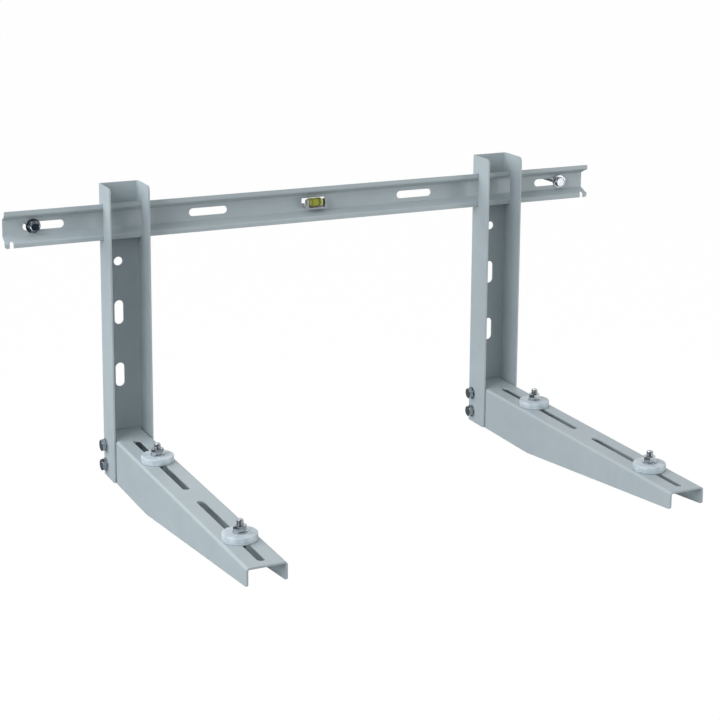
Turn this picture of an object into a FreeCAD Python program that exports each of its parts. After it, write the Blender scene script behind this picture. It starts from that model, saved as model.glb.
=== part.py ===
import FreeCAD, Part
import os
from math import cos, radians, sin, tan

# Wall bracket for the outdoor unit of a split air conditioner, in millimetres.
# The wall is the plane Y = 0 and the bracket stands out of it towards -Y.
# The origin is on the wall, half way along the cross bar and at its middle height.

# Cross bar: a hat-shaped rail rolled from thin sheet
bar_length = 800.0
bar_sheet = 1.5
bar_height = 44.0
bar_web_height = 20.0
bar_lip_height = 6.0
bar_depth = 15.0
bar_bend_radius = 1.5
bar_web_set_back = 1.0
bar_top_corner_radius = 1.5
bar_bottom_corner_radius = 3.0
bar_slot_length = 50.0
bar_slot_width = 10.0
bar_outer_slot_inset = 50.0
end_notch_width = 4.8
end_notch_height = 7.5
end_notch_depth = 6.0
end_notch_offset = 8.2

# Window in the cross bar for the level, a little above the bar's middle
window_length = 32.0
window_height = 10.0
window_lift = 1.0
window_shift = -1.0
window_corner_radius = 1.0

# Uprights: channels folded from plate, open side away from the wall
plate_thickness = 2.0
plate_bend_radius = 1.5
upright_inset = 144.0
upright_width = 50.0
upright_depth = 44.0
upright_height = 365.0
upright_above_bar = 45.0
upright_top_corner_radius = 6.0
upright_foot_corner_radius = 4.0
upright_hole_radius = 5.5
upright_hole_shift = 2.5
upright_hole_drop = 98.0
upright_slot_length = 30.0
upright_slot_width = 11.5
upright_upper_slot_drop = 162.0
upright_lower_slot_drop = 241.0
bar_passage_clearance = 0.6
bar_inner_slot_inset = 113.5

# Arms: folded channels, open side down, set inside the uprights
arm_reach = 472.0
arm_foot_clearance = 0.0
arm_root_height = 54.0
arm_tip_height = 20.0
arm_straight_length = 155.0
arm_side_clearance = 0.5
arm_root_clearance = 0.5
arm_tip_corner_radius = 4.0
arm_knee_radius = 60.0
arm_root_corner_radius = 3.0
arm_slot_length = 185.0
arm_slot_width = 9.0
arm_slot_tip_margin = 12.5
arm_slot_gap = 38.5

# Bolts, nuts and washers of the eight millimetre size
thread_radius = 4.0
hole_clearance = 0.5
nut_clearance = 0.1
washer_clearance = 0.2
hex_across_flats = 13.0
head_height = 5.3
nut_height = 6.5
hex_chamfer_angle = 30.0
tip_chamfer = 1.0
washer_radius = 8.0
wide_washer_radius = 10.0
washer_thickness = 1.6

# Bolts that hold each arm in its upright, two a side
side_bolt_reach = 11.5
side_bolt_upper_drop = 14.0
side_bolt_lower_drop = 39.0
side_bolt_length = 16.0

# Anti-vibration pads and the bolts through them
pad_radius = 19.2
pad_height = 8.0
pad_edge_radius = 1.2
rear_pad_slide = -11.0
front_pad_slide = 29.5
pad_bolt_length = 26.0

# Flange-headed screws that hold the cross bar to the wall
wall_screw_slide = 12.5
wall_screw_length = 45.0
wall_screw_point_length = 6.0
wall_screw_point_radius = 1.0
wall_screw_neck_radius = 3.5
wall_screw_flange_radius = 9.0
wall_screw_flange_rim = 1.2
wall_screw_flange_height = 2.6
wall_screw_head_height = 8.0

# Spirit level: a clear vial held in a plastic clip in front of the window
vial_radius = 6.0
vial_wall = 1.0
vial_edge_radius = 0.8
vial_barrel_length = 18.0
vial_neck_radius = 4.0
vial_neck_length = 4.5
vial_spigot_radius = 3.0
vial_back_gap = 0.5
spigot_clearance = 0.1
liquid_clearance = 0.05
bubble_radius = 1.9
bubble_length = 8.0
bubble_lift = 0.25
clip_cheek_thickness = 2.0
clip_cheek_height = 12.0
clip_cheek_depth = 8.0
clip_corner_radius = 2.0
clip_strap_thickness = 1.5
clip_strap_gap = 0.3
clip_tongue_width = 12.0
clip_tongue_thickness = 1.3
clip_barb_drop = 1.2
clip_lug_length = 4.6
clip_lug_lift = 3.6
clip_lug_thickness = 1.2
clip_fit = 0.1

# Places that follow from the sizes above
upright_offset = bar_length / 2 - upright_inset
upright_foot = upright_above_bar - upright_height
bar_outer_slot_offset = bar_length / 2 - bar_outer_slot_inset
bar_inner_slot_offset = upright_offset - bar_inner_slot_inset
wall_screw_offset = bar_outer_slot_offset + wall_screw_slide
arm_base = upright_foot + arm_foot_clearance
arm_top = arm_base + arm_root_height
arm_width = upright_width - 2 * (plate_thickness + arm_side_clearance)
arm_front_slot_reach = arm_reach - arm_slot_tip_margin - arm_slot_length / 2
arm_rear_slot_reach = arm_front_slot_reach - arm_slot_length - arm_slot_gap
front_pad_reach = arm_front_slot_reach + front_pad_slide
rear_pad_reach = arm_rear_slot_reach + rear_pad_slide
arm_root = -plate_thickness - arm_root_clearance
bar_back = -plate_thickness
bar_web_front = bar_back - bar_sheet
bar_front = bar_back - bar_depth
bolt_hole_radius = thread_radius + hole_clearance
hex_across_corners = hex_across_flats / cos(radians(30))
side_bolt_levels = (arm_top - side_bolt_upper_drop, arm_top - side_bolt_lower_drop)
vial_y = bar_web_front - vial_back_gap - vial_radius
vial_z = window_lift
vial_half = (vial_barrel_length + vial_neck_length) / 2

X_AXIS = FreeCAD.Vector(1, 0, 0)
Y_AXIS = FreeCAD.Vector(0, 1, 0)
Z_AXIS = FreeCAD.Vector(0, 0, 1)
OVERRUN = 1.0


def block(x_range, y_range, z_range):
    """A plain block between two planes on each axis."""
    low = FreeCAD.Vector(x_range[0], y_range[0], z_range[0])
    return Part.makeBox(x_range[1] - x_range[0], y_range[1] - y_range[0], z_range[1] - z_range[0], low)


def rounded_path(points, radii):
    """Edges of an open path, with a tangent arc at each inner point that has a radius."""
    edges = []
    start = points[0]
    for before, corner, after, radius in zip(points, points[1:], points[2:], radii[1:]):
        arrive = (corner - before).normalize()
        leave = (after - corner).normalize()
        half_turn = arrive.getAngle(leave) / 2
        if radius > 0:
            first = corner - arrive * (radius * tan(half_turn))
            last = corner + leave * (radius * tan(half_turn))
            inward = (leave - arrive).normalize()
            middle = corner + inward * (radius / cos(half_turn) - radius)
            edges.append(Part.LineSegment(start, first).toShape())
            edges.append(Part.Arc(first, middle, last).toShape())
            start = last
        else:
            edges.append(Part.LineSegment(start, corner).toShape())
            start = corner
    edges.append(Part.LineSegment(start, points[-1]).toShape())
    return edges


def rounded_face(points, radii):
    """A flat face whose corners each have a radius of their own, or none."""
    seam = (points[0] + points[-1]) * 0.5
    return Part.Face(Part.Wire(rounded_path([seam] + points + [seam], [0] + radii + [0])))


def folded_section(points, thickness, bend_radius, normal):
    """The section of a folded sheet: the points run along one side, the other is to their left."""
    runs = [(after - before).normalize() for before, after in zip(points, points[1:])]
    lefts = [normal.cross(run) for run in runs]
    other_side = [points[0] + lefts[0] * thickness]
    near_radii = [0]
    far_radii = [0]
    for corner, arrive, leave, left, next_left in zip(points[1:], runs, runs[1:], lefts, lefts[1:]):
        other_side.append(corner + (left + next_left) * (thickness / (1 + left.dot(next_left))))
        turns_left = arrive.cross(leave).dot(normal) > 0
        near_radii.append(bend_radius + (thickness if turns_left else 0))
        far_radii.append(bend_radius + (0 if turns_left else thickness))
    other_side.append(points[-1] + lefts[-1] * thickness)
    edges = rounded_path(points, near_radii + [0])
    edges.append(Part.LineSegment(points[-1], other_side[-1]).toShape())
    edges += rounded_path(other_side[::-1], ([0] + far_radii[::-1])[:len(points)])
    edges.append(Part.LineSegment(other_side[0], points[0]).toShape())
    return Part.Face(Part.Wire(edges))


def slot_face(centre, along, across, length, width):
    """A flat face with straight sides and round ends."""
    corners = [centre + along * (length / 2 * i) + across * (width / 2 * j)
               for i, j in ((-1, -1), (1, -1), (1, 1), (-1, 1))]
    ends = [centre + along * (length / 2 * i) for i in (1, -1)]
    inset = along * (width / 2)
    sides = [Part.LineSegment(corners[0] + inset, corners[1] - inset).toShape(),
             Part.Arc(corners[1] - inset, ends[0], corners[2] - inset).toShape(),
             Part.LineSegment(corners[2] - inset, corners[3] + inset).toShape(),
             Part.Arc(corners[3] + inset, ends[1], corners[0] + inset).toShape()]
    return Part.Face(Part.Wire(sides))


def turned(profile):
    """A solid turned about Z from (radius, height) points that start and end on the axis."""
    points = [FreeCAD.Vector(radius, 0, height) for radius, height in profile]
    face = Part.Face(Part.makePolygon(points + [points[0]]))
    return face.revolve(FreeCAD.Vector(0, 0, 0), Z_AXIS, 360)


def placed(shape, position, axis):
    """A copy of a shape made about Z, moved so that its Z points along the axis."""
    copy = shape.copy()
    copy.Placement = FreeCAD.Placement(position, FreeCAD.Rotation(Z_AXIS, axis)).multiply(copy.Placement)
    return copy


def hexagon(height, chamfered_below):
    """A hexagonal prism from Z = 0 up, with its corners turned off at 30 degrees."""
    corners = [FreeCAD.Vector(hex_across_corners / 2 * cos(radians(60 * k)),
                              hex_across_corners / 2 * sin(radians(60 * k)), 0) for k in range(7)]
    prism = Part.Face(Part.makePolygon(corners)).extrude(Z_AXIS * height)
    flat = hex_across_flats / 2
    corner = hex_across_corners / 2
    drop = (corner - flat) * tan(radians(hex_chamfer_angle))
    profile = [(0, 0)]
    profile += [(flat, 0), (corner, drop)] if chamfered_below else [(corner, 0)]
    profile += [(corner, height - drop), (flat, height), (0, height)]
    return prism.common(turned(profile))


def hex_bolt(length):
    """A bolt whose head stands on Z = 0 and whose shank runs up by its length."""
    shank = turned([(0, 0), (thread_radius, 0), (thread_radius, length - tip_chamfer),
                    (thread_radius - tip_chamfer, length), (0, length)])
    return placed(hexagon(head_height, False), FreeCAD.Vector(0, 0, 0), -Z_AXIS).fuse(shank)


def hex_nut():
    """A nut that sits on Z = 0."""
    bore = Part.makeCylinder(thread_radius + nut_clearance, nut_height + 2 * OVERRUN, Z_AXIS * -OVERRUN)
    return hexagon(nut_height, True).cut(bore)


def washer(radius):
    """A flat washer that lies on Z = 0."""
    hole = Part.makeCylinder(thread_radius + washer_clearance, washer_thickness)
    return Part.makeCylinder(radius, washer_thickness).cut(hole)


def cross_bar():
    """The hat-shaped rail with its slots, its level window and its end notches."""
    lip_top = bar_height / 2
    lip_foot = lip_top - bar_lip_height
    web_top = bar_web_height / 2
    outline = [(bar_front, lip_top), (bar_front, lip_foot), (bar_web_front, web_top),
               (bar_web_front, -web_top), (bar_front, -lip_foot), (bar_front, -lip_top)]
    points = [FreeCAD.Vector(-bar_length / 2, y, z) for y, z in outline]
    bar = folded_section(points, bar_sheet, bar_bend_radius, X_AXIS).extrude(X_AXIS * bar_length)

    corners = [FreeCAD.Vector(bar_length / 2 * i, bar_front, lip_top * k)
               for i, k in ((-1, -1), (-1, 1), (1, 1), (1, -1))]
    radii = [bar_bottom_corner_radius, bar_top_corner_radius, bar_top_corner_radius, bar_bottom_corner_radius]
    bar = bar.common(rounded_face(corners, radii).extrude(Y_AXIS * bar_depth))

    through = Y_AXIS * (bar_sheet + 2 * OVERRUN)
    web = bar_web_front - OVERRUN
    for offset in (bar_inner_slot_offset, bar_outer_slot_offset):
        for side in (-1, 1):
            centre = FreeCAD.Vector(side * offset, web, 0)
            slot = slot_face(centre, X_AXIS, Z_AXIS, bar_slot_length, bar_slot_width)
            bar = bar.cut(slot.extrude(through))
    window = [FreeCAD.Vector(window_shift + window_length / 2 * i, web, window_lift + window_height / 2 * k)
              for i, k in ((-1, -1), (-1, 1), (1, 1), (1, -1))]
    bar = bar.cut(rounded_face(window, [window_corner_radius] * 4).extrude(through))

    for side in (-1, 1):
        end = side * bar_length / 2
        x_range = sorted((end, end - side * bar_web_set_back))
        behind_lips = (bar_front + bar_sheet, bar_back)
        bar = bar.cut(block(x_range, behind_lips, (-lip_foot, lip_foot)))
        notch_x = end - side * end_notch_offset
        notch_top = -lip_top + end_notch_height
        centre = FreeCAD.Vector(notch_x, bar_front - OVERRUN, notch_top - end_notch_height)
        notch = slot_face(centre, Z_AXIS, X_AXIS, 2 * end_notch_height, end_notch_width)
        bar = bar.cut(notch.extrude(Y_AXIS * (end_notch_depth + OVERRUN)))
    return bar


def bar_passage():
    """The outline of the hole that the cross bar slides through, as (y, z) points."""
    gap = bar_passage_clearance
    lip_back = bar_front + bar_sheet + gap
    upper = [(bar_front - gap, bar_height / 2 + gap), (lip_back, bar_height / 2 + gap),
             (lip_back, bar_height / 2 - bar_lip_height + bar_sheet + gap),
             (bar_back, bar_web_height / 2 + bar_sheet + gap)]
    return upper + [(y, -z) for y, z in upper[::-1]]


def upright(x, outward):
    """A wall channel with its bar passages, its wall holes and its bolt holes."""
    half = upright_width / 2
    outline = [(x + half, -upright_depth), (x + half, 0), (x - half, 0), (x - half, -upright_depth)]
    points = [FreeCAD.Vector(px, py, upright_foot) for px, py in outline]
    channel = folded_section(points, plate_thickness, plate_bend_radius, Z_AXIS)
    channel = channel.extrude(Z_AXIS * upright_height)

    side = [(0, upright_foot), (0, upright_above_bar), (-upright_depth, upright_above_bar),
            (-upright_depth, upright_foot)]
    corners = [FreeCAD.Vector(x - half, y, z) for y, z in side]
    radii = [0, 0, upright_top_corner_radius, upright_foot_corner_radius]
    channel = channel.common(rounded_face(corners, radii).extrude(X_AXIS * upright_width))

    flange = plate_thickness + plate_bend_radius
    for edge in (x - half, x + half - flange):
        ring = [FreeCAD.Vector(edge, y, z) for y, z in bar_passage()]
        channel = channel.cut(Part.Face(Part.makePolygon(ring + ring[:1])).extrude(X_AXIS * flange))

    through = Y_AXIS * (plate_thickness + 2 * OVERRUN)
    web = -plate_thickness - OVERRUN
    hole_x = x + outward * upright_hole_shift
    for drop in (upright_upper_slot_drop, upright_lower_slot_drop):
        centre = FreeCAD.Vector(hole_x, web, upright_above_bar - drop)
        slot = slot_face(centre, Z_AXIS, X_AXIS, upright_slot_length, upright_slot_width)
        channel = channel.cut(slot.extrude(through))
    hole_centre = FreeCAD.Vector(hole_x, web, upright_above_bar - upright_hole_drop)
    channel = channel.cut(Part.makeCylinder(upright_hole_radius, through.Length, hole_centre, Y_AXIS))
    return cut_side_holes(channel, x, upright_width)


def cut_side_holes(channel, x, width):
    """Holes through both sides of a channel for the bolts between upright and arm."""
    for level in side_bolt_levels:
        start = FreeCAD.Vector(x - width / 2 - OVERRUN, -side_bolt_reach, level)
        channel = channel.cut(Part.makeCylinder(bolt_hole_radius, width + 2 * OVERRUN, start, X_AXIS))
    return channel


def arm(x):
    """A carrying arm: a channel with its open side down, deep at the wall and shallow at the tip."""
    half = arm_width / 2
    outline = [(x - half, arm_base), (x - half, arm_top), (x + half, arm_top), (x + half, arm_base)]
    points = [FreeCAD.Vector(px, -arm_reach, pz) for px, pz in outline]
    channel = folded_section(points, plate_thickness, plate_bend_radius, Y_AXIS)
    channel = channel.extrude(Y_AXIS * (arm_reach + arm_root))

    side = [(arm_root, arm_top), (-arm_reach, arm_top), (-arm_reach, arm_top - arm_tip_height),
            (-arm_straight_length, arm_base), (arm_root, arm_base)]
    corners = [FreeCAD.Vector(x - half, y, z) for y, z in side]
    radii = [0, 0, arm_tip_corner_radius, arm_knee_radius, arm_root_corner_radius]
    channel = channel.common(rounded_face(corners, radii).extrude(X_AXIS * arm_width))

    through = Z_AXIS * (plate_thickness + 2 * OVERRUN)
    for reach in (arm_rear_slot_reach, arm_front_slot_reach):
        centre = FreeCAD.Vector(x, -reach, arm_top - plate_thickness - OVERRUN)
        slot = slot_face(centre, Y_AXIS, X_AXIS, arm_slot_length, arm_slot_width)
        channel = channel.cut(slot.extrude(through))
    return cut_side_holes(channel, x, arm_width)


def side_fasteners(x):
    """The bolts, washers and nuts between one upright and its arm, as three groups."""
    bolts, washers, nuts = [], [], []
    for side in (-1, 1):
        inward = X_AXIS * -side
        outer_face = x + side * upright_width / 2
        inner_face = x + side * (arm_width / 2 - plate_thickness)
        for level in side_bolt_levels:
            on_upright = FreeCAD.Vector(outer_face, -side_bolt_reach, level)
            under_head = on_upright - inward * washer_thickness
            on_arm = FreeCAD.Vector(inner_face, -side_bolt_reach, level)
            washers.append(placed(washer(washer_radius), under_head, inward))
            bolts.append(placed(hex_bolt(side_bolt_length), under_head, inward))
            nuts.append(placed(hex_nut(), on_arm, inward))
    return Part.makeCompound(bolts), Part.makeCompound(washers), Part.makeCompound(nuts)


def pad():
    """A soft disc with rounded rims and a hole for its bolt, lying on Z = 0."""
    disc = Part.makeCylinder(pad_radius, pad_height)
    rims = [edge for edge in disc.Edges if edge.Curve.TypeId == "Part::GeomCircle"]
    return disc.makeFillet(pad_edge_radius, rims).cut(Part.makeCylinder(bolt_hole_radius, pad_height))


def wall_screw():
    """A screw with a flanged hexagonal head; its flange stands on Z = 0 and its point is below."""
    flange = turned([(0, 0), (wall_screw_flange_radius, 0), (wall_screw_flange_radius, wall_screw_flange_rim),
                     (hex_across_flats / 2, wall_screw_flange_height), (0, wall_screw_flange_height)])
    thread_start = bar_web_front
    thread_end = -wall_screw_length + wall_screw_point_length
    shank = turned([(0, 0), (wall_screw_neck_radius, 0), (wall_screw_neck_radius, thread_start),
                    (thread_radius, thread_start), (thread_radius, thread_end),
                    (wall_screw_point_radius, -wall_screw_length), (0, -wall_screw_length)])
    return flange.fuse([hexagon(wall_screw_head_height, False), shank])


def level_vial():
    """The clear vial: a sealed barrel with a neck at one end and a spigot at each end."""
    barrel_end = -vial_half + vial_barrel_length
    spigot = vial_half + clip_cheek_thickness
    outside = turned([(0, -spigot), (vial_spigot_radius, -spigot), (vial_spigot_radius, -vial_half),
                      (vial_radius - vial_edge_radius, -vial_half), (vial_radius, -vial_half + vial_edge_radius),
                      (vial_radius, barrel_end - vial_edge_radius), (vial_radius - vial_edge_radius, barrel_end),
                      (vial_neck_radius, barrel_end), (vial_neck_radius, vial_half),
                      (vial_spigot_radius, vial_half), (vial_spigot_radius, spigot), (0, spigot)])
    cavity = Part.makeCylinder(vial_radius - vial_wall, vial_barrel_length - 2 * vial_wall,
                               Z_AXIS * (-vial_half + vial_wall))
    return placed(outside.cut(cavity), FreeCAD.Vector(0, vial_y, vial_z), X_AXIS)


def level_liquid():
    """The tinted liquid that fills the vial, with its bubble at the top."""
    radius = vial_radius - vial_wall - liquid_clearance
    start = -vial_half + vial_wall + liquid_clearance
    length = vial_barrel_length - 2 * (vial_wall + liquid_clearance)
    liquid = Part.makeCylinder(radius, length, FreeCAD.Vector(start, vial_y, vial_z), X_AXIS)
    straight = bubble_length - 2 * bubble_radius
    first = FreeCAD.Vector(start + (length - straight) / 2, vial_y, vial_z + radius - bubble_radius + bubble_lift)
    bubble = Part.makeCylinder(bubble_radius, straight, first, X_AXIS)
    for end in (first, first + X_AXIS * straight):
        bubble = bubble.fuse(Part.makeSphere(bubble_radius, end))
    return liquid.cut(bubble)


def level_clip():
    """The plastic clip: a strap under the vial, a cheek at each end and a hook through the window."""
    strap_top = vial_z - vial_radius - clip_strap_gap
    strap_foot = strap_top - clip_strap_thickness
    cheek_outside = vial_half + clip_cheek_thickness
    cheek_front = vial_y - clip_cheek_depth / 2
    cheek_back = vial_y + clip_cheek_depth / 2
    clip = block((-cheek_outside, cheek_outside), (cheek_front, bar_web_front), (strap_foot, strap_top))

    cheek_top = strap_foot + clip_cheek_height
    side = [(cheek_back, strap_foot), (cheek_back, cheek_top), (cheek_front, cheek_top), (cheek_front, strap_foot)]
    socket = Part.makeCylinder(vial_spigot_radius + spigot_clearance, 2 * cheek_outside,
                               FreeCAD.Vector(-cheek_outside, vial_y, vial_z), X_AXIS)
    for start in (-cheek_outside, vial_half):
        corners = [FreeCAD.Vector(start, y, z) for y, z in side]
        cheek = rounded_face(corners, [0, clip_corner_radius, clip_corner_radius, 0])
        clip = clip.fuse(cheek.extrude(X_AXIS * clip_cheek_thickness).cut(socket))

    half = clip_tongue_width / 2
    sill = window_lift - window_height / 2 + clip_fit
    tongue_top = sill + clip_tongue_thickness
    behind_web = bar_back + clip_fit
    tongue_end = behind_web + clip_tongue_thickness
    riser = block((-half, half), (bar_web_front - clip_tongue_thickness, bar_web_front), (strap_foot, tongue_top))
    tongue = block((-half, half), (bar_web_front, tongue_end), (sill, tongue_top))
    barb = block((-half, half), (behind_web, tongue_end), (sill - clip_barb_drop, sill))
    lug_front = bar_web_front - clip_lug_thickness
    lug_top = sill + clip_lug_lift
    lug_end = -cheek_outside - clip_lug_length
    lug_side = [(-cheek_outside, strap_foot), (-cheek_outside, lug_top), (lug_end, lug_top), (lug_end, sill)]
    lug_corners = [FreeCAD.Vector(x, lug_front, z) for x, z in lug_side]
    lug = Part.Face(Part.makePolygon(lug_corners + lug_corners[:1])).extrude(Y_AXIS * clip_lug_thickness)
    return clip.fuse([riser, tongue, barb, lug]).removeSplitter()


def build():
    """Every piece of the bracket, by name."""
    pieces = {"cross_bar": cross_bar()}
    for name, side in (("left", -1), ("right", 1)):
        x = side * upright_offset
        pieces[name + "_upright"] = upright(x, side)
        pieces[name + "_arm"] = arm(x)
        bolts, washers, nuts = side_fasteners(x)
        pieces[name + "_arm_bolts"] = bolts
        pieces[name + "_arm_washers"] = washers
        pieces[name + "_arm_nuts"] = nuts

        screw_head = FreeCAD.Vector(side * wall_screw_offset, bar_web_front, 0)
        pieces[name + "_wall_screw"] = placed(wall_screw(), screw_head, -Y_AXIS)

        for place, reach in (("rear", rear_pad_reach), ("front", front_pad_reach)):
            seat = FreeCAD.Vector(x, -reach, arm_top)
            below = seat - Z_AXIS * (plate_thickness + washer_thickness)
            above = seat + Z_AXIS * pad_height
            prefix = name + "_" + place + "_pad"
            pieces[prefix] = placed(pad(), seat, Z_AXIS)
            pieces[prefix + "_bolt"] = placed(hex_bolt(pad_bolt_length), below, Z_AXIS)
            pieces[prefix + "_lower_washer"] = placed(washer(wide_washer_radius), below, Z_AXIS)
            pieces[prefix + "_upper_washer"] = placed(washer(washer_radius), above, Z_AXIS)
            pieces[prefix + "_nut"] = placed(hex_nut(), above + Z_AXIS * washer_thickness, Z_AXIS)

    pieces["level_vial"] = level_vial()
    pieces["level_liquid"] = level_liquid()
    pieces["level_clip"] = level_clip()
    return pieces


def main():
    os.makedirs("parts", exist_ok=True)
    for name, shape in build().items():
        shape.exportStep("parts/" + name + ".step")
        print(name, "valid", shape.isValid(), "solids", len(shape.Solids), "mm3", round(shape.Volume, 1))


main()
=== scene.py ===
# %% [markdown]
# This file dresses a steel wall bracket for the outdoor unit of an air conditioner.
# The folded steelwork already has its true shape in the loaded frame, so it only gets its
# finish. Bolts, nuts, screws and pads have simpler solids there. They are made again here,
# with threads and other forms that are too fine to be worth a solid.

# %% Load the frame
from math import cos, pi, sin, tan, radians

import bmesh
import bpy
from mathutils import Matrix, Vector


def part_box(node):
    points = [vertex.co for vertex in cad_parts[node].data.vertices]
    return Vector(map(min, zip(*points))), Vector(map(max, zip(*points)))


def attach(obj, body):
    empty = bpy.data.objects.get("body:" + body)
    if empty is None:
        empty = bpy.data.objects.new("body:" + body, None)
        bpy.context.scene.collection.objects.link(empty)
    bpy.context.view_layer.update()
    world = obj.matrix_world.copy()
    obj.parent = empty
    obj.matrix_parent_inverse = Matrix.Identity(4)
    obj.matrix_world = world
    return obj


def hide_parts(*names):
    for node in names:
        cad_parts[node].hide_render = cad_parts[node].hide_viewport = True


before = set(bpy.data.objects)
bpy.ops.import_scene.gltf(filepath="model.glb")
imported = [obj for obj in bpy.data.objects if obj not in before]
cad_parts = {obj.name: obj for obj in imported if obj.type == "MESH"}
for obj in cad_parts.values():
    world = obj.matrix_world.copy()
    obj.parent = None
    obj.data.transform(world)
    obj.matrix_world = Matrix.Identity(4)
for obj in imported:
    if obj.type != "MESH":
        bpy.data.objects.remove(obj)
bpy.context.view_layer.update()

print("nodes in the frame:", len(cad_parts))

# %% [markdown]
# The camera comes first, because everything later is judged through it. It stands to the
# left of the bracket, a little above it, and far back, so the two arms stay almost parallel.
# A camera can be placed by its angles and its distance; here it gets its place, and three
# axes worked out from a heading, a tilt and a slight roll. The shift slides the picture in
# its frame without turning the camera.

# %% Camera
heading, tilt, roll = radians(26.50), radians(10.68), radians(0.64)
distance = 2.3388
aim = Vector((0.1239, 0, 0.0187))
backward = Vector((-sin(heading) * cos(tilt), -cos(heading) * cos(tilt), sin(tilt)))
level_right = (-backward).cross(Vector((0, 0, 1))).normalized()
level_up = backward.cross(level_right)
picture_right = level_right * cos(roll) + level_up * sin(roll)
picture_up = level_up * cos(roll) - level_right * sin(roll)

lens = bpy.data.cameras.new("studio_camera")
lens.lens = 89.82
lens.sensor_width = 36
lens.shift_x = -0.0556
lens.shift_y = -0.25
camera = bpy.data.objects.new("studio_camera", lens)
camera.matrix_world = Matrix((picture_right, picture_up, backward)).transposed().to_4x4()
camera.location = aim + backward * distance
bpy.context.collection.objects.link(camera)
bpy.context.scene.camera = camera
print("camera stands at", [round(value, 3) for value in camera.location])

# %% [markdown]
# A finish is a small network of nodes. Wiring each node by hand hides the idea, so a thin
# class lets a socket be used in ordinary sums: `0.36 + cloud * 0.16` adds the two nodes that
# work it out. Only the sums that the finishes need are there.


# %% Sums on sockets
class Socket:
    """An output of a shader node that can be used in sums."""

    def __init__(self, finish, output):
        self.finish = finish
        self.output = output

    def sum(self, operation, first, second):
        return self.finish.node("ShaderNodeMath", {"operation": operation}, {0: first, 1: second})

    def __add__(self, other):
        return self.sum("ADD", self, other)

    def __mul__(self, other):
        return self.sum("MULTIPLY", self, other)

    __radd__ = __add__
    __rmul__ = __mul__


print("sums on sockets are ready")

# %% [markdown]
# A second class holds one material. It makes any node in one call, and has a short word for
# the few that every finish uses. Colours are blended by a Mix node, because a sum on a
# colour would turn it grey. That node keeps a set of sockets for each kind of value, and the
# four numbers below pick the ones for colours.

# %% Finishes
MIX_SHARE, MIX_FIRST, MIX_SECOND, MIX_RESULT = 0, 6, 7, 2


class Finish:
    """A material that is built node by node around one surface shader."""

    def __init__(self, name, **constants):
        self.material = bpy.data.materials.new(name)
        self.material.use_nodes = True
        self.tree = self.material.node_tree
        self.surface = self.tree.nodes["Principled BSDF"]
        for socket, value in constants.items():
            self.surface.inputs[socket.replace("_", " ")].default_value = value

    def node(self, kind, settings=None, inputs=None, output=0):
        """Any node: its settings first, then the values or links of its sockets."""
        made = self.tree.nodes.new(kind)
        for name, value in (settings or {}).items():
            setattr(made, name, value)
        for name, value in (inputs or {}).items():
            self.feed(made.inputs[name], value)
        return Socket(self, made.outputs[output])

    def feed(self, socket, value):
        if isinstance(value, Socket):
            self.tree.links.new(value.output, socket)
        else:
            socket.default_value = value

    def drive(self, **sockets):
        """Feed sockets of the surface shader, named with underscores for spaces."""
        for name, value in sockets.items():
            self.feed(self.surface.inputs[name.replace("_", " ")], value)

    def place(self):
        return self.node("ShaderNodeTexCoord", output="Object")

    def noise(self, place, scale, detail=2.0):
        """Smooth random tone with grains of about one over the scale, in metres."""
        return self.node("ShaderNodeTexNoise", {}, {"Vector": place, "Scale": scale, "Detail": detail})

    def ramp(self, value, start, end):
        """A tone that runs between two stops, each as (value, tone), and is level outside them."""
        ramp = self.node("ShaderNodeValToRGB", {}, {"Fac": value})
        for stop, (place, tone) in zip(ramp.output.node.color_ramp.elements, (start, end)):
            stop.position = place
            stop.color = (tone, tone, tone, 1)
        return ramp

    def blend(self, mask, first, second):
        """A colour between two others."""
        return self.node("ShaderNodeMix", {"data_type": "RGBA"},
                         {MIX_SHARE: mask, MIX_FIRST: first, MIX_SECOND: second}, output=MIX_RESULT)

    def bump(self, height, depth, strength, normal=None):
        inputs = {"Height": height, "Distance": depth, "Strength": strength}
        if normal:
            inputs["Normal"] = normal
        return self.node("ShaderNodeBump", {}, inputs)

    def soft_edges(self, radius):
        """A normal that rounds the sharp edges of a solid, as a coat or a tumbled edge does."""
        return self.node("ShaderNodeBevel", {"samples": 6}, {"Radius": radius})


print("helpers for finishes are ready")

# %% [markdown]
# The channels and the bar are powder coated in one cool light grey. Powder melts into a
# skin with a faint orange peel of about a millimetre, and it thins out in pinholes. A flat
# colour would look like paper, so noises carry it: a broad one for the tone, a middle one
# for the gloss and fine ones for the peel. The rounded normal gives every folded or cut edge
# the thin light line that coated sheet has.

# %% Powder coat
DEEP_GREY = (0.44, 0.50, 0.52, 1)
LIGHT_GREY = (0.485, 0.548, 0.565, 1)
THIN_GREY = (0.39, 0.445, 0.465, 1)

powder = Finish("grey_powder_coat", Specular_IOR_Level=0.45)
where = powder.place()
broad = powder.noise(where, scale=7.0, detail=3.0)
cloud = powder.noise(where, scale=60.0)
peel = powder.noise(where, scale=750.0, detail=1.0)
grain = powder.noise(where, scale=2600.0)
mottle = powder.ramp(broad * 0.7 + cloud * 0.3, (0.35, 0.0), (0.65, 1.0))
pinholes = powder.ramp(grain, (0.66, 0.0), (0.78, 0.35))
powder.drive(Base_Color=powder.blend(pinholes, powder.blend(mottle, DEEP_GREY, LIGHT_GREY), THIN_GREY),
             Roughness=0.36 + cloud * 0.16,
             Normal=powder.bump(peel * 0.8 + grain * 0.2, depth=0.00006, strength=0.35,
                                normal=powder.soft_edges(radius=0.0007)))

coated = ["cross_bar", "left_upright", "right_upright", "left_arm", "right_arm"]
for name in coated:
    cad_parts[name].material_slots[0].material = powder.material
print("powder coated:", ", ".join(coated))

# %% [markdown]
# Bolts, nuts, washers and wall screws are bright zinc plated. The plating is a mirror with
# a fine grain, and the clear film over it throws faint blue and straw tints. The tints come
# from one slow noise. The grain changes how sharp the reflections are, and dulls the film
# where it is scuffed.

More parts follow.
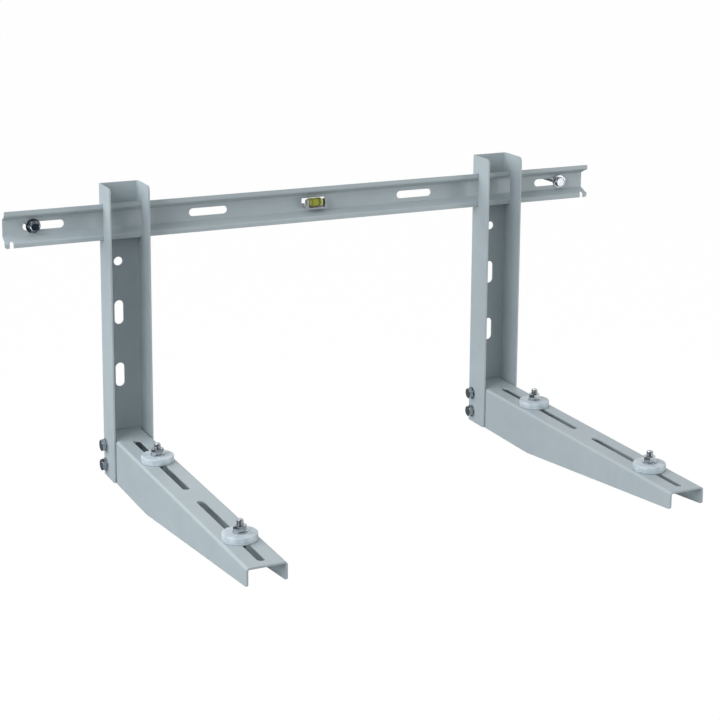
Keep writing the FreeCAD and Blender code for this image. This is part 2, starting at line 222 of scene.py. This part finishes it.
# %% Bright zinc
BLUE_FILM = (0.43, 0.47, 0.52, 1)
STRAW_FILM = (0.56, 0.57, 0.57, 1)
SCUFFED_FILM = (0.34, 0.37, 0.41, 1)

zinc = Finish("bright_zinc", Metallic=1.0)
where = zinc.place()
tint = zinc.noise(where, scale=180.0)
scuff = zinc.noise(where, scale=1400.0, detail=4.0)
film = zinc.blend(zinc.ramp(tint, (0.42, 0.0), (0.60, 1.0)), BLUE_FILM, STRAW_FILM)
zinc.drive(Base_Color=zinc.blend(zinc.ramp(scuff, (0.55, 0.0), (0.75, 0.5)), film, SCUFFED_FILM),
           Roughness=0.12 + scuff * 0.14,
           Normal=zinc.bump(scuff, depth=0.00002, strength=0.4, normal=zinc.soft_edges(radius=0.00025)))

plated = [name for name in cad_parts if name.endswith(("washer", "washers"))]
for name in plated:
    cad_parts[name].material_slots[0].material = zinc.material
print("nodes of zinc plated washers:", len(plated))

# %% [markdown]
# The pads are cut from a pale soft plastic that lets a little light in. Light that spreads
# below the surface is what makes it look like wax and not like paint, so the shader has
# some subsurface light. It spreads equally far in every colour, because red light that went
# further, as it does in skin, would turn the plastic pink. Cloudy patches and a satin skin
# do the rest.

# %% Pad plastic
EVEN_SPREAD = (1.0, 1.0, 1.0)
CLOUDY, MILKY = (0.52, 0.60, 0.65, 1), (0.68, 0.74, 0.77, 1)

pad_plastic = Finish("pale_pad_plastic", Subsurface_Weight=0.35, Subsurface_Scale=0.002,
                     Subsurface_Radius=EVEN_SPREAD)
where = pad_plastic.place()
patches = pad_plastic.noise(where, scale=130.0, detail=3.0)
skin = pad_plastic.noise(where, scale=900.0, detail=3.0)
milky = pad_plastic.ramp(patches, (0.35, 0.0), (0.65, 1.0))
pad_plastic.drive(Base_Color=pad_plastic.blend(milky, CLOUDY, MILKY),
                  Roughness=0.34 + skin * 0.2,
                  Normal=pad_plastic.bump(patches * 0.7 + skin * 0.3, depth=0.0002, strength=0.35))
print("pad plastic is ready")

# %% [markdown]
# The level holds a yellow-green liquid in a clear shell. Clear things are made by letting
# light through. The liquid needs its own colour and its own bending of light, or the bubble
# would vanish. The shell's colour turns a dark olive where its neck begins.

# %% Shell and liquid of the level
HAZY_SHELL, CLEAR_SHELL = (0.86, 0.90, 0.70, 1), (0.95, 0.97, 0.85, 1)
# The next colour is the dark olive that the shell's colour turns to from its neck on.
DARK_NECK_TINT = (0.36, 0.38, 0.18, 1)
NECK_FROM, NECK_TO = 0.0063, 0.0067
DEEP_LIQUID, LIGHT_LIQUID = (0.30, 0.30, 0.045, 1), (0.40, 0.40, 0.08, 1)

clear = Finish("clear_vial", Transmission_Weight=1.0, IOR=1.12)
where = clear.place()
haze = clear.noise(where, scale=1500.0)
along_vial = clear.node("ShaderNodeSeparateXYZ", {}, {"Vector": where})
neck = clear.ramp(along_vial, (NECK_FROM, 0.0), (NECK_TO, 1.0))
clear.drive(Base_Color=clear.blend(neck, clear.blend(haze, HAZY_SHELL, CLEAR_SHELL), DARK_NECK_TINT),
            Roughness=0.02 + haze * 0.06)

liquid = Finish("yellow_green_liquid", Transmission_Weight=0.15, IOR=1.36)
swirl = liquid.noise(liquid.place(), scale=300.0)
liquid.drive(Base_Color=liquid.blend(swirl, DEEP_LIQUID, LIGHT_LIQUID),
             Roughness=0.05 + swirl * 0.05)
print("the liquid bends light by", liquid.surface.inputs["IOR"].default_value)

# %% [markdown]
# The clip of the level is moulded in a plain grey plastic with a fine grain, and the marks
# on the vial are a dark ink. Ink is a little uneven, or it would look like a hole.

# %% Clip and ink of the level
DEEP_CLIP, LIGHT_CLIP = (0.38, 0.39, 0.43, 1), (0.48, 0.49, 0.53, 1)
DEEP_INK, LIGHT_INK = (0.012, 0.014, 0.012, 1), (0.035, 0.038, 0.03, 1)

moulded = Finish("moulded_clip_plastic", Subsurface_Weight=0.15, Subsurface_Scale=0.001,
                 Subsurface_Radius=EVEN_SPREAD)
pores = moulded.noise(moulded.place(), scale=1100.0, detail=3.0)
moulded.drive(Base_Color=moulded.blend(pores, DEEP_CLIP, LIGHT_CLIP),
              Roughness=0.38 + pores * 0.15,
              Normal=moulded.bump(pores, depth=0.00005, strength=0.4,
                                  normal=moulded.soft_edges(radius=0.0002)))

ink = Finish("dark_mark_ink")
speckle = ink.noise(ink.place(), scale=2500.0)
ink.drive(Base_Color=ink.blend(speckle, DEEP_INK, LIGHT_INK),
          Roughness=0.4 + speckle * 0.2)

for name, finish in (("level_vial", clear), ("level_liquid", liquid), ("level_clip", moulded)):
    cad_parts[name].material_slots[0].material = finish.material
    print(name, "is", finish.material.name)

# %% [markdown]
# Nearly every small piece here is a stack of rings: a hexagon that turns into a circle, a
# thread whose rings climb as they go round, a soft disc. So one class gathers rings, joins
# each to the next with four-sided faces, and turns the result into an object that rides on
# the bracket and stands in for a simpler solid of the frame. Stacks that end on one ring
# are welded there, and all faces are turned outward, so each piece is a closed skin. Rings
# are written in millimetres, and only the finished mesh is in metres.

# %% Pieces made of rings
TO_METRES = 0.001
WELD = 0.000002
SHARP_ANGLE = radians(32)


class Rings:
    """Points and faces of one piece, gathered ring by ring, in millimetres."""

    def __init__(self):
        self.points = []
        self.faces = []

    def add(self, rings, place, round_trip=False, seam_open=False, cap=False):
        """One stack of rings; the last may join the first, or be closed by one flat face."""
        start = len(self.points)
        count = len(rings[0])
        for ring in rings:
            self.points += [place @ Vector(point) for point in ring]
        pairs = list(zip(range(len(rings)), range(1, len(rings))))
        if round_trip:
            pairs.append((len(rings) - 1, 0))
        for low, high in pairs:
            for step in range(count - 1 if seam_open else count):
                beside = (step + 1) % count
                self.faces.append((start + low * count + step, start + low * count + beside,
                                   start + high * count + beside, start + high * count + step))
        if cap:
            last = start + (len(rings) - 1) * count
            self.faces.append(tuple(range(last, last + count)))

    def piece(self, name, finish, slot, *stands_for):
        """An object with this shape, in place of the named solids of the frame."""
        mesh = bpy.data.meshes.new(name)
        mesh.from_pydata([point * TO_METRES for point in self.points], [], self.faces)
        skin = bmesh.new()
        skin.from_mesh(mesh)
        bmesh.ops.remove_doubles(skin, verts=skin.verts, dist=WELD)
        bmesh.ops.recalc_face_normals(skin, faces=skin.faces)
        open_edges = sum(not edge.is_manifold for edge in skin.edges)
        skin.to_mesh(mesh)
        skin.free()
        mesh.materials.append(finish.material)
        mesh.shade_smooth()
        mesh.set_sharp_from_angle(angle=SHARP_ANGLE)
        made = bpy.data.objects.new(name, mesh)
        bpy.context.collection.objects.link(made)
        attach(made, "root")
        if stands_for:
            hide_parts(*stands_for)
        print(name, "has", len(mesh.polygons), "faces and", open_edges, "open edges")


print("pieces can be gathered from rings")

# %% [markdown]
# The rings themselves are circles and hexagons. A turned piece is a list of circles, one for
# each point of its outline. A hexagon is a circle whose radius follows the flats, so both
# have the same number of points and can be joined.

# %% Ring shapes
ROUND = 36


def circle(radius, height, steps=ROUND):
    angles = [2 * pi * k / steps for k in range(steps)]
    return [(radius * cos(angle), radius * sin(angle), height) for angle in angles]


def circles(outline, steps=ROUND):
    """The rings of a turned piece, from the (radius, height) points of its outline."""
    return [circle(radius, height, steps) for radius, height in outline]


def hexagon(flats, limit, height):
    """A hexagon with a corner on the X axis, held inside a circle."""
    ring = []
    for k in range(ROUND):
        angle = 2 * pi * k / ROUND
        off_flat = angle % (pi / 3) - pi / 6
        radius = min(flats / 2 / cos(off_flat), limit)
        ring.append((radius * cos(angle), radius * sin(angle), height))
    return ring


print("a ring has", ROUND, "points")

# %% [markdown]
# Each piece made here takes its place from the solid that it stands in for, so nothing
# drifts when the frame changes. The side bolts go through the flanges of the uprights, four
# to an arm, and their heights follow from the washers' box.

# %% Places
TO_MILLIMETRES = 1000
WASHER, WASHER_RADIUS = 1.6, 8.0
SIDES = ("left", "right")
SPOTS = ("rear", "front")


def along(position, axis):
    """A place that carries Z onto an axis at a position in millimetres."""
    turn = Vector((0, 0, 1)).rotation_difference(Vector(axis))
    return Matrix.Translation(Vector(position)) @ turn.to_matrix().to_4x4()


def middle(name):
    """The middle of a node of the frame, in millimetres."""
    low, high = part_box(name)
    return (Vector(low) + Vector(high)) * TO_MILLIMETRES / 2


def side_bolt_places(side, offset):
    """Positions at an offset from the channel's middle, each with the axis toward that middle."""
    washers = side + "_arm_washers"
    low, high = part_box(washers)
    x, y = middle(side + "_upright").x, middle(washers).y
    heights = (low[2] * TO_MILLIMETRES + WASHER_RADIUS, high[2] * TO_MILLIMETRES - WASHER_RADIUS)
    return [((x + flange * offset, y, z), (-flange, 0, 0)) for flange in (-1, 1) for z in heights]


for position, axis in side_bolt_places("left", 0):
    print("a side bolt of the left arm runs through", [round(value, 1) for value in position])

# %% [markdown]
# A hexagon head is turned to a cone at its end, which takes its corners off and leaves the
# arcs that every such head shows on its flats. The cone slopes by 30 degrees, so each step
# out toward the corners is also a step down from the face.

# %% Hexagon ends
FLATS = 13.0
CONE = pi / 6
CONE_SHARES = (1.0, 0.66, 0.33, 0.0)
FACE_INSET = 0.4


def turned_corners(flats):
    """Each step of a turned-off hexagon end: its limiting radius, and its depth below the face."""
    excess = (flats / cos(pi / 6) - flats) / 2
    return [(flats / 2 + excess * share, excess * share * tan(CONE)) for share in CONE_SHARES]


def chamfered_head(base, height, direction, flats=FLATS):
    """Rings of a hexagon from its base to its turned-off top."""
    rings = [hexagon(flats, flats, base)]
    for limit, drop in turned_corners(flats):
        rings.append(hexagon(flats, limit, base + direction * (height - drop)))
    rings.append(circle(flats / 2 - FACE_INSET, base + direction * height))
    return rings


print("corners lie below the face by", [round(drop, 2) for limit, drop in turned_corners(FLATS)], "mm")

# %% [markdown]
# A thread is one strip of rings that rises by one pitch in a turn, with four rows to a
# pitch: two for the flat crest and two for the root. At both ends the rows are held inside
# the length, which runs the thread out neatly. A screw's thread also draws down to a point.

# %% Threads
ROWS = 4
CREST_ROWS = (1, 2)
POINT_SHARE = 0.06


def thread(start, end, pitch, crest, root, taper=0.0):
    """Rings of a thread between two heights; the last stretch may taper to a point."""
    rings = []
    for row in range(int(ROWS * (end - start) / pitch) + 2 * ROWS + 1):
        ring = []
        for k in range(ROUND + 1):
            climb = start + pitch * (row / ROWS - 1 + k / ROUND)
            height = min(max(climb, start), end)
            radius = crest if row % ROWS in CREST_ROWS and start < climb < end else root
            if taper:
                radius *= min(1.0, max(POINT_SHARE, (end - height) / taper))
            ring.append((radius * cos(2 * pi * k / ROUND), radius * sin(2 * pi * k / ROUND), height))
        rings.append(ring)
    return rings


print("a thread has", ROWS, "rows to a pitch")

# %% [markdown]
# A machine bolt has a hexagon head, a thin washer face under it, and a thread with a cone at
# its tip. Eight short ones, four a side, hold the arms, and four longer ones stand up
# through the pads.

# %% Bolts
THREAD, THREAD_ROOT, PITCH = 4.0, 3.32, 1.25
HEAD_HEIGHT = 5.3
WASHER_FACE, FACE_DEPTH = 5.7, 0.3
TIP, TIP_RADIUS = 0.8, 2.9
SIDE_BOLT, PAD_BOLT = 16.0, 26.0
UPRIGHT_HALF = 25.0


def add_bolt(rings, position, axis, length):
    """A bolt whose head bears at the position and whose shank runs along the axis."""
    place = along(position, axis)
    rings.add(circles([(THREAD_ROOT, 0), (WASHER_FACE, 0), (WASHER_FACE, -FACE_DEPTH)])
              + chamfered_head(-FACE_DEPTH, HEAD_HEIGHT - FACE_DEPTH, -1), place, cap=True)
    rings.add(thread(0.0, length - TIP, PITCH, THREAD, THREAD_ROOT), place, seam_open=True)
    rings.add(circles([(THREAD_ROOT, length - TIP), (TIP_RADIUS, length)]), place, cap=True)


for side in SIDES:
    bolts = Rings()
    for position, axis in side_bolt_places(side, UPRIGHT_HALF + WASHER):
        add_bolt(bolts, position, axis, SIDE_BOLT)
    bolts.piece(side + "_threaded_arm_bolts", zinc, "zinc", side + "_arm_bolts")
    for spot in SPOTS:
        pad = side + "_" + spot + "_pad"
        under = middle(pad + "_lower_washer")
        bolt = Rings()
        add_bolt(bolt, (under.x, under.y, under.z - WASHER / 2), (0, 0, 1), PAD_BOLT)
        bolt.piece(pad + "_threaded_bolt", zinc, "zinc", pad + "_bolt")

# %% [markdown]
# A nut is the same hexagon, turned off at both faces, with a small funnel at each end of its
# bore. Its rings run up the outside and back down through the bore, so the last ring joins
# the first one.

# %% Nuts
NUT_HEIGHT = 6.5
BORE, FUNNEL = 4.1, 0.5
ARM_INNER_HALF = 20.5


def add_nut(rings, position, axis):
    """A nut that bears at the position."""
    corners = turned_corners(FLATS)
    outside = [circle(FLATS / 2 - FACE_INSET, 0)]
    outside += [hexagon(FLATS, limit, drop) for limit, drop in corners[::-1]]
    outside += [hexagon(FLATS, limit, NUT_HEIGHT - drop) for limit, drop in corners]
    outside.append(circle(FLATS / 2 - FACE_INSET, NUT_HEIGHT))
    inside = circles([(BORE + FUNNEL, NUT_HEIGHT), (BORE, NUT_HEIGHT - FUNNEL),
                      (BORE, FUNNEL), (BORE + FUNNEL, 0)])
    rings.add(outside + inside, along(position, axis), round_trip=True)


for side in SIDES:
    nuts = Rings()
    for position, axis in side_bolt_places(side, ARM_INNER_HALF):
        add_nut(nuts, position, axis)
    nuts.piece(side + "_chamfered_arm_nuts", zinc, "zinc", side + "_arm_nuts")
    for spot in SPOTS:
        pad = side + "_" + spot + "_pad"
        washer = middle(pad + "_upper_washer")
        nut = Rings()
        add_nut(nut, (washer.x, washer.y, washer.z + WASHER / 2), (0, 0, 1))
        nut.piece(pad + "_chamfered_nut", zinc, "zinc", pad + "_nut")

# %% [markdown]
# A wall screw has its washer forged on: a smaller hexagon, dished at its top, stands on a
# nearly flat flange. Below it is a plain neck and then a coarse thread that draws down to a
# point in the wall plug. The outlines are (radius, height) over the face of the bar's web.

# %% Wall screws
SCREW_FLATS = 12.0
WEB_FACE = -3.5
FLANGE = [(3.5, 0), (8.7, 0), (9.0, 0.3), (9.0, 1.1), (8.8, 1.35), (7.1, 1.65)]
HEX_BASE, HEX_HEIGHT = 1.75, 6.25
DISH = [(4.9, 7.95), (4.6, 7.75)]
NECK = [(3.5, 0), (3.5, -3.0), (2.9, -3.5)]
NECK_LENGTH, SCREW_LENGTH, POINT_LENGTH = 3.5, 45.0, 7.0
SCREW_PITCH, SCREW_ROOT = 3.0, 2.9

for side in SIDES:
    centre = middle(side + "_wall_screw")
    place = along((centre.x, WEB_FACE, centre.z), (0, -1, 0))
    down = place @ Matrix.Rotation(pi, 4, "X")
    screw = Rings()
    screw.add(circles(FLANGE) + chamfered_head(HEX_BASE, HEX_HEIGHT, 1, SCREW_FLATS) + circles(DISH),
              place, cap=True)
    screw.add(circles(NECK), place)
    screw.add(thread(NECK_LENGTH, SCREW_LENGTH, SCREW_PITCH, THREAD, SCREW_ROOT, taper=POINT_LENGTH),
              down, seam_open=True, cap=True)
    screw.piece(side + "_flanged_wall_screw", zinc, "zinc", side + "_wall_screw")

# %% [markdown]
# Each pad is a soft disc that carries one foot of the unit. Its rims are round, the washer
# has pressed it in a little, and a thin line runs round its side where the two halves of
# the mould met. All of that is one outline turned about the bolt, from the hole along the
# underside, up the side and back over the top, with enough points for the light to roll
# over the rims.


# %% Pads
def rim(centre, radius, first, last, steps=6):
    """Points of a rounded rim in the outline of a turned piece."""
    angles = [radians(first + (last - first) * k / steps) for k in range(steps + 1)]
    return [(centre[0] + radius * cos(a), centre[1] + radius * sin(a)) for a in angles]


PAD_HEIGHT = 8.0
PAD_STEPS = 64
RIM, RIM_CENTRE = 1.2, 18.0
underside = [(4.5, 0.4), (4.9, 0.0), (10.0, 0.0), (17.0, 0.0)]
lower_rim = rim((RIM_CENTRE, RIM), RIM, -90, 0)
mould_line = [(19.15, 3.7), (19.2, 3.85), (19.2, 4.15), (19.15, 4.3)]
upper_rim = rim((RIM_CENTRE, PAD_HEIGHT - RIM), RIM, 0, 90)
pressed_top = [(15.0, 7.98), (12.0, 7.98), (9.6, 8.1), (8.7, 8.05),
               (8.2, 7.99), (6.0, 7.99), (4.9, 7.99), (4.5, 7.6)]
outline = underside + lower_rim + mould_line + upper_rim + pressed_top
for side in SIDES:
    for spot in SPOTS:
        pad = side + "_" + spot + "_pad"
        seat = middle(pad)
        disc = Rings()
        disc.add(circles(outline, PAD_STEPS), along((seat.x, seat.y, seat.z - PAD_HEIGHT / 2), (0, 0, 1)),
                 round_trip=True)
        disc.piece(pad + "_soft_disc", pad_plastic, "pad_rubber", pad)

# %% [markdown]
# The fitter reads the level by two dark lines round the vial, one at each end of the
# bubble. They are printed, so here they are two very thin bands that hug the barrel.

# %% Marks on the vial
MARK_OFFSET = 4.8
MARK_STEPS = 48
BAND = [(6.01, -0.35), (6.06, -0.3), (6.06, 0.3), (6.01, 0.35)]

barrel = middle("level_liquid")
marks = Rings()
for offset in (-MARK_OFFSET, MARK_OFFSET):
    place = along((barrel.x + offset, barrel.y, barrel.z), (1, 0, 0))
    marks.add(circles(BAND, MARK_STEPS), place, round_trip=True)
marks.piece("vial_marks", ink, "clip_plastic")

# %% [markdown]
# The bracket is shown on pure white. A white floor alone would need so much light that the
# steel would burn out, so the world is white only for rays that come from the camera, off
# bright metal or through clear plastic, and gives plain soft light to everything else.


# %% World
def seen_directly(tree):
    """One for camera, mirror and see-through rays, nought for the light that falls on things."""
    path = tree.nodes.new("ShaderNodeLightPath")
    total = path.outputs["Is Camera Ray"]
    for name in ("Is Glossy Ray", "Is Transmission Ray"):
        larger = tree.nodes.new("ShaderNodeMath")
        larger.operation = "MAXIMUM"
        tree.links.new(total, larger.inputs[0])
        tree.links.new(path.outputs[name], larger.inputs[1])
        total = larger.outputs[0]
    return total


world = bpy.data.worlds.new("white_room")
bpy.context.scene.world = world
world.use_nodes = True
sky = world.node_tree
ambient = sky.nodes["Background"]
ambient.inputs["Color"].default_value = (0.93, 0.97, 1.0, 1)
ambient.inputs["Strength"].default_value = 0.5
backdrop = sky.nodes.new("ShaderNodeBackground")
backdrop.inputs["Color"].default_value = (1, 1, 1, 1)
backdrop.inputs["Strength"].default_value = 1.0
choice = sky.nodes.new("ShaderNodeMixShader")
sky.links.new(seen_directly(sky), choice.inputs[0])
sky.links.new(ambient.outputs[0], choice.inputs[1])
sky.links.new(backdrop.outputs[0], choice.inputs[2])
sky.links.new(choice.outputs[0], sky.nodes["World Output"].inputs["Surface"])
print("the world gives soft light of strength", ambient.inputs["Strength"].default_value)

# %% [markdown]
# The floor glows white in the same way, but keeps a share of plain matt paint, so that it
# still takes a soft shadow. It lies well below the bracket, which hangs on a wall.

# %% Floor
GLOW_SHARE = 0.9
FLOOR_HALF, FLOOR_HEIGHT = 30.0, -1.1

floor_paint = bpy.data.materials.new("white_floor")
floor_paint.use_nodes = True
paint = floor_paint.node_tree
matt = paint.nodes["Principled BSDF"]
matt.inputs["Base Color"].default_value = (0.42, 0.42, 0.42, 1)
matt.inputs["Roughness"].default_value = 0.9
matt.inputs["Specular IOR Level"].default_value = 0.0
glow = paint.nodes.new("ShaderNodeEmission")
glow.inputs["Strength"].default_value = 1.08
cover = paint.nodes.new("ShaderNodeMixShader")
share = paint.nodes.new("ShaderNodeMath")
share.operation = "MULTIPLY"
share.inputs[1].default_value = GLOW_SHARE
paint.links.new(seen_directly(paint), share.inputs[0])
paint.links.new(share.outputs[0], cover.inputs[0])
paint.links.new(matt.outputs[0], cover.inputs[1])
paint.links.new(glow.outputs[0], cover.inputs[2])
paint.links.new(cover.outputs[0], paint.nodes["Material Output"].inputs["Surface"])

corners = [(x * FLOOR_HALF, y * FLOOR_HALF, FLOOR_HEIGHT) for x, y in ((-1, -1), (1, -1), (1, 1), (-1, 1))]
ground = bpy.data.meshes.new("floor")
ground.from_pydata(corners, [], [(0, 1, 2, 3)])
ground.materials.append(floor_paint)
floor = bpy.data.objects.new("floor", ground)
bpy.context.collection.objects.link(floor)
print("floor lies", -FLOOR_HEIGHT, "m below the cross bar")

# %% [markdown]
# Bright metal in an all-white room looks like paper, so a studio stands dark cards round
# it. They are plain boards that only mirror rays can meet: the fasteners pick up their dark
# streaks, while the soft light on everything else stays as it is. Each card slopes up from
# just above the floor, because bolts seen from above mirror what lies low, and one more
# hangs level overhead.

# %% Dark cards
CARD_STEPS = 12
CARD_FOOT = -1.05
CARD_REACH = 4.0
CEILING = 3.6


def studio_card(name, tone, heading_from, heading_to, near, far):
    """A curved board between two headings, from a near foot to a far top, each as
    (distance, height), seen in reflections alone."""
    paint = bpy.data.materials.new(name)
    paint.use_nodes = True
    board = paint.node_tree.nodes["Principled BSDF"]
    board.inputs["Base Color"].default_value = (0, 0, 0, 1)
    board.inputs["Specular IOR Level"].default_value = 0
    board.inputs["Emission Color"].default_value = tone
    board.inputs["Emission Strength"].default_value = 1
    points, faces = [], []
    for k in range(CARD_STEPS + 1):
        angle = radians(heading_from + (heading_to - heading_from) * k / CARD_STEPS)
        for distance, height in (near, far):
            points.append((distance * sin(angle), -distance * cos(angle), height))
    for k in range(CARD_STEPS):
        faces.append((2 * k, 2 * k + 1, 2 * k + 3, 2 * k + 2))
    sheet = bpy.data.meshes.new(name)
    sheet.from_pydata(points, [], faces)
    sheet.materials.append(paint)
    made = bpy.data.objects.new(name, sheet)
    made.visible_camera = False
    made.visible_diffuse = False
    made.visible_transmission = False
    made.visible_shadow = False
    bpy.context.collection.objects.link(made)
    print(name, "spans", heading_to - heading_from, "degrees")


studio_card("front_card", (0.02, 0.03, 0.045, 1), -50, 25, (0.9, CARD_FOOT), (CARD_REACH, 2.2))
studio_card("right_card", (0.05, 0.07, 0.08, 1), 60, 112, (0.7, CARD_FOOT), (CARD_REACH, 0.6))
studio_card("back_card", (0.13, 0.16, 0.17, 1), 118, 220, (0.5, CARD_FOOT), (CARD_REACH, -0.4))
studio_card("left_card", (0.08, 0.10, 0.10, 1), 222, 305, (0.7, CARD_FOOT), (CARD_REACH, 2.6))
studio_card("ceiling_card", (0.06, 0.075, 0.08, 1), 0, 360, (0.1, CEILING), (3.4, CEILING))

# %% [markdown]
# The light is what a small product studio has. A large soft box stands at the left front
# and a small one beside the wall at the left, so the outer faces of the channels are the
# lightest. One overhead and a low one on the right fill the shadows of the folds.

# %% Lamps
COOL, WARM = (0.94, 0.965, 1.0), (1.0, 0.985, 0.96)


def soft_box(name, position, aim_at, size, power, colour=(1, 1, 1)):
    """A square lamp that faces a point."""
    lamp = bpy.data.lights.new(name, "AREA")
    lamp.size = size
    lamp.energy = power
    lamp.color = colour
    made = bpy.data.objects.new(name, lamp)
    made.location = position
    toward = Vector(aim_at) - Vector(position)
    made.rotation_euler = toward.to_track_quat("-Z", "Y").to_euler()
    bpy.context.collection.objects.link(made)
    print(name, "gives", power, "W")


soft_box("left_soft_box", (-2.6, -1.4, 1.1), (0, -0.1, -0.1), size=2.0, power=46.0, colour=COOL)
soft_box("left_back_soft_box", (-1.7, 0.4, 0.75), (-0.1, -0.05, -0.1), size=1.0, power=14.0, colour=COOL)
soft_box("top_soft_box", (0.2, -0.8, 2.4), (0, -0.2, -0.2), size=2.0, power=6.0)
soft_box("right_front_soft_box", (2.7, -2.1, -0.6), (0.1, -0.1, -0.1), size=1.6, power=30.0, colour=WARM)

# %% [markdown]
# The plain view transform shows each colour as it is written.

# %% Finish
bpy.context.scene.view_settings.view_transform = "Standard"
